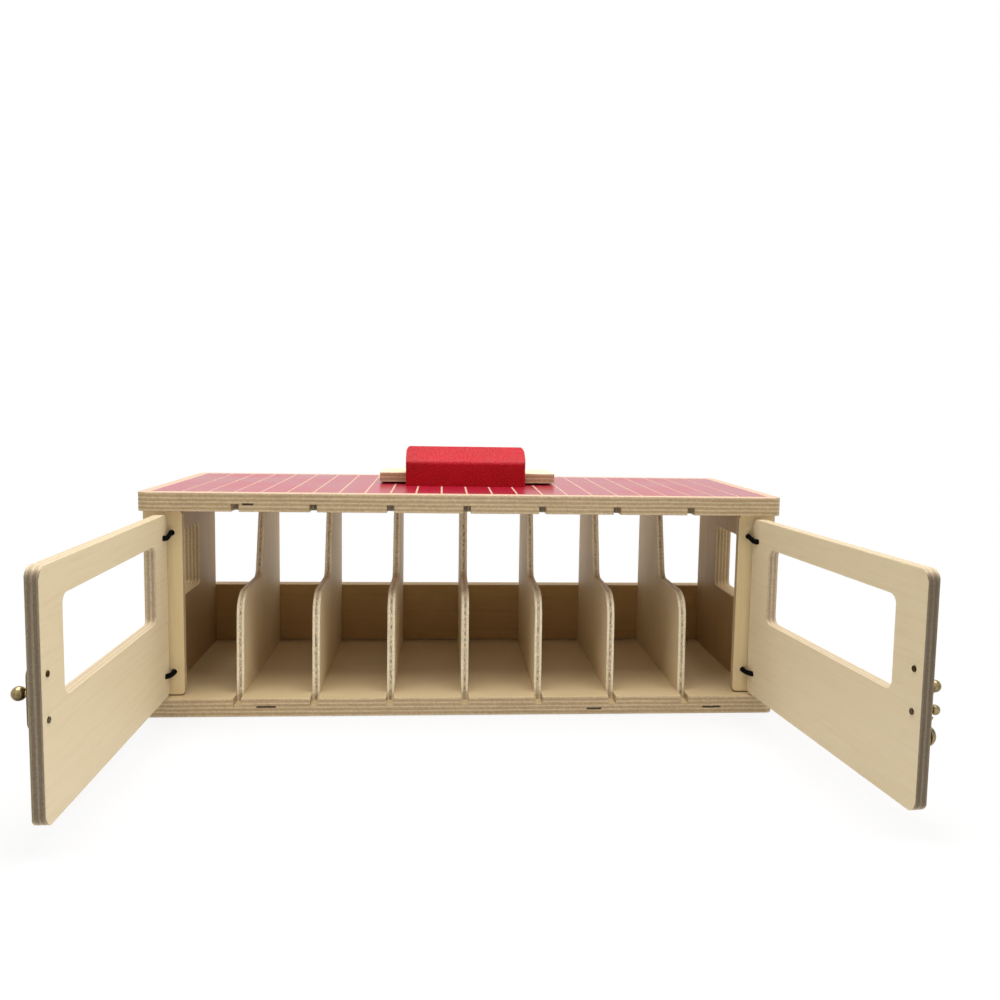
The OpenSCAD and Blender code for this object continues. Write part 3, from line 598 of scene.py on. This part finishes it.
# %% The whole cord as one closed mesh
def ribbon(name, path, wide, thick, up, corners=16):
    """A flat cord, `wide` along `up` and `thick` across it, carried along the path."""
    bm = bmesh.new()
    rings, lengths, run = [], [], 0.0
    for i, p in enumerate(path):
        ahead = (path[min(i + 1, len(path) - 1)] - path[max(i - 1, 0)]).normalized()
        side = ahead.cross(up).normalized()
        top = side.cross(ahead).normalized()
        if i:
            run += (p - path[i - 1]).length
        lengths.append(run)
        turns = [2 * math.pi * (k + 0.5) / corners for k in range(corners)]
        rings.append([bm.verts.new(p + section(a, wide, thick, top, side)) for a in turns])
    skin(bm, rings, lengths)
    mesh = bpy.data.meshes.new(name)
    bm.to_mesh(mesh)
    bm.free()
    for face in mesh.polygons:
        face.use_smooth = True
    o = bpy.data.objects.new(name, mesh)
    bpy.context.scene.collection.objects.link(o)
    return o


# %% An overhand knot
def knot_path(centre, lead, up, size, turns=40):
    """A trefoil round `centre`, flattened along the cord's way in."""
    side = lead.cross(up).normalized()
    points = []
    for i in range(turns + 1):
        a = 2 * math.pi * i / turns
        x = math.sin(a) + 2 * math.sin(2 * a)
        y = math.cos(a) - 2 * math.cos(2 * a)
        z = -math.sin(3 * a)
        points.append(centre + (side * x + up * y) * size / 6.4 + lead * z * size / 5.0)
    return points


# %% Black cord
def black_cord():
    g = Finish("black_cord")
    along = g.add("ShaderNodeTexCoord").outputs["UV"]
    fibre = g.noise(g.stretch(along, (40, 6, 1)), 3.0, 3, 0.6)
    return g.finish(Base_Color=g.mix(fibre, linear("#020202"), linear("#0A0908")), Roughness=0.9,
                    Specular_IOR_Level=0.08, Normal=g.bump(fibre, 0.1 * MM, 0.5))


cord_black = black_cord()

# %% The route of a hinge cord
knot_size = 3.9 * MM
post_bore_in, door_bore_along = 2.05 * MM, 8.5 * MM


def cord_route(side, z_post, z_door):
    """Points from the knot behind the post to the knot outside the door."""
    sign = -1 if side == "left" else 1
    hinge, along, out = open_door(side)
    post_low, post_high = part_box("front_post_" + side)
    post_x = hinge.x - sign * post_bore_in
    bore = Vector((hinge.x, hinge.y, z_door)) + along * door_bore_along
    return [
        Vector((post_x, post_high.y + knot_size / 2, z_post)),
        Vector((post_x, post_high.y, z_post)),
        Vector((post_x, post_low.y + 0.6 * MM, z_post)),
        Vector((post_x, post_low.y - 3.2 * MM, z_post)) - out * 0.2 * MM,
        bore - along * 2.6 * MM - out * 1.5 * MM,
        bore + out * 1.2 * MM,
        bore + out * door_t,
        bore + out * (door_t + knot_size / 2),
    ]


print("knots", round(knot_size / MM, 1), "mm wide, beside bores of the posts and doors")

# %% The four hinge cords
cord_wide, cord_thick = 3.2 * MM, 1.7 * MM
strand_wide, strand_thick = 1.5 * MM, 1.1 * MM
cad_knot_half = 2.5 * MM


def hinge_cord(side, level, z_post, z_door):
    name = f"hinge_cord_{side}_{level}"
    hinge, along, out = open_door(side)
    up = Vector(Z)
    route = cord_route(side, z_post, z_door)
    outer_knot = route[-1] + out * 0.3 * MM
    pieces = [
        ribbon(name + "_tie", smooth_path(route, 8), cord_wide, cord_thick, up),
        ribbon(name + "_knot_in", knot_path(route[0], Vector(Y), up, knot_size),
               strand_wide, strand_thick, up),
        ribbon(name + "_knot_out", knot_path(outer_knot, out, up, knot_size),
               strand_wide, strand_thick, up),
    ]
    bpy.ops.object.select_all(action="DESELECT")
    for o in pieces:
        o.data.materials.append(cord_black)
        o.select_set(True)
    bpy.context.view_layer.objects.active = pieces[0]
    bpy.ops.object.join()
    whole = pieces[0]
    whole.name = name + "_woven"
    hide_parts(name)
    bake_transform(whole)
    return whole


for side in ("left", "right"):
    for level in ("upper", "lower"):
        low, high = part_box(f"hinge_cord_{side}_{level}")
        cord = hinge_cord(side, level, high.z - cad_knot_half, low.z + cad_knot_half)
        print(cord.name, len(cord.data.polygons), "faces")

# %% [markdown]
# ## Floor
#
# The photograph is a product shot on pure white. A floor could be made white with more light,
# but that light would bleach the wood too. Here the floor is a matt white sheet that throws
# soft light back up under the box. To the camera, and in reflections, it reads as plain white,
# and only close round the box a faint part of the real shadow is kept.


# %% A surface that looks plain white
def plain_to_the_eye(g, output, seen, lit):
    """`seen` where the camera, a mirror or a clear piece looks, and `lit` for all other light."""
    path = g.add("ShaderNodeLightPath").outputs
    looks = g.maths("MAXIMUM", path["Is Camera Ray"], path["Is Glossy Ray"])
    looks = g.maths("MAXIMUM", looks, path["Is Transmission Ray"])
    both = g.add("ShaderNodeMixShader", _0=looks, _1=lit, _2=seen)
    g.put(output, "Surface", both.outputs[0])


# %% The floor sheet
def floor_sheet():
    reach, ground = 4.0, -0.5 * MM
    shadow_kept, shadow_fades, shadow_ends = 0.2, 0.24, 0.6
    mesh = bpy.data.meshes.new("floor_sheet")
    corners = [(x * reach, y * reach, ground) for x, y in ((-1, -1), (1, -1), (1, 1), (-1, 1))]
    mesh.from_pydata(corners, [], [(0, 1, 2, 3)])
    o = bpy.data.objects.new("floor_sheet", mesh)
    bpy.context.scene.collection.objects.link(o)
    g = Finish("floor_white")
    g.finish(Base_Color=(0.8, 0.8, 0.8, 1), Roughness=0.9, Specular_IOR_Level=0.1)
    matt = g.surface.outputs[0]
    white = g.add("ShaderNodeEmission", Color=(1, 1, 1, 1), Strength=1.0).outputs[0]
    away = g.add("ShaderNodeVectorMath", {"operation": "LENGTH"}, _0=g.place()).outputs["Value"]
    share = g.between(away, shadow_fades, shadow_ends, shadow_kept, 0.0)
    seen = g.add("ShaderNodeMixShader", _0=share, _1=white, _2=matt).outputs[0]
    plain_to_the_eye(g, g.tree.nodes["Material Output"], seen, matt)
    mesh.materials.append(g.material)
    print("floor sheet", 2 * reach, "m wide")


floor_sheet()

# %% [markdown]
# ## Light
#
# In the photograph the roof and the tops of the doors glow, and the faces turned to the camera
# stay calm. That is a wide soft box overhead, with a fainter glow from the right and from
# behind. Several lamps could do the glow, but each would throw a shadow of its own. The room
# itself glows instead, more strongly on the sides where its directions say so.


# %% The room round the box
def room():
    world = bpy.data.worlds.new("white_room")
    bpy.context.scene.world = world
    world.use_nodes = True
    world.node_tree.nodes.clear()
    g = Graph(world.node_tree)
    toward = g.add("ShaderNodeSeparateXYZ", _0=g.add("ShaderNodeTexCoord").outputs["Generated"]).outputs
    glow = 0.04
    for axis, strength in (("X", 0.6), ("Z", 0.3), ("Y", 0.4)):
        glow = g.maths("ADD", g.maths("MULTIPLY", toward[axis], strength, clamp=True), glow)
    lit = g.add("ShaderNodeBackground", Color=(1.0, 0.985, 0.96, 1), Strength=glow).outputs[0]
    seen = g.add("ShaderNodeBackground", Color=(1, 1, 1, 1), Strength=1.0).outputs[0]
    plain_to_the_eye(g, g.add("ShaderNodeOutputWorld"), seen, lit)
    print("room of", len(world.node_tree.nodes), "nodes")


room()


# %% Soft boxes
def soft_box(name, place, target, wide, tall, power):
    data = bpy.data.lights.new(name, "AREA")
    data.shape = "RECTANGLE"
    data.size, data.size_y = wide, tall
    data.energy = power
    o = bpy.data.objects.new(name, data)
    bpy.context.scene.collection.objects.link(o)
    o.location = place
    o.rotation_euler = (Vector(target) - Vector(place)).to_track_quat("-Z", "Y").to_euler()
    print(name, power, "W")


soft_box("overhead", (0.0, -0.1, 1.1), (0, 0.0, 0.1), 1.4, 0.9, 18.5)
soft_box("behind_camera", (-0.4, -1.5, 0.9), (0, 0, 0.08), 0.9, 0.9, 0.8)

# %% [markdown]
# ## Render settings
#
# A picture could be made fast with a game-like renderer, but the glow between the boards needs
# light that bounces. Cycles follows it, with enough samples for calm wood. The view transform is
# Standard, which shows a colour as it is written.

# %% Settings
scene = bpy.context.scene
scene.render.engine = "CYCLES"
scene.cycles.samples = 128
scene.cycles.use_denoising = True
scene.cycles.seed = 1
scene.cycles.max_bounces = 8
scene.render.resolution_x = scene.render.resolution_y = 1000
scene.view_settings.view_transform = "Standard"
print("renders", scene.render.resolution_x, "pixels wide with", scene.cycles.samples, "samples")
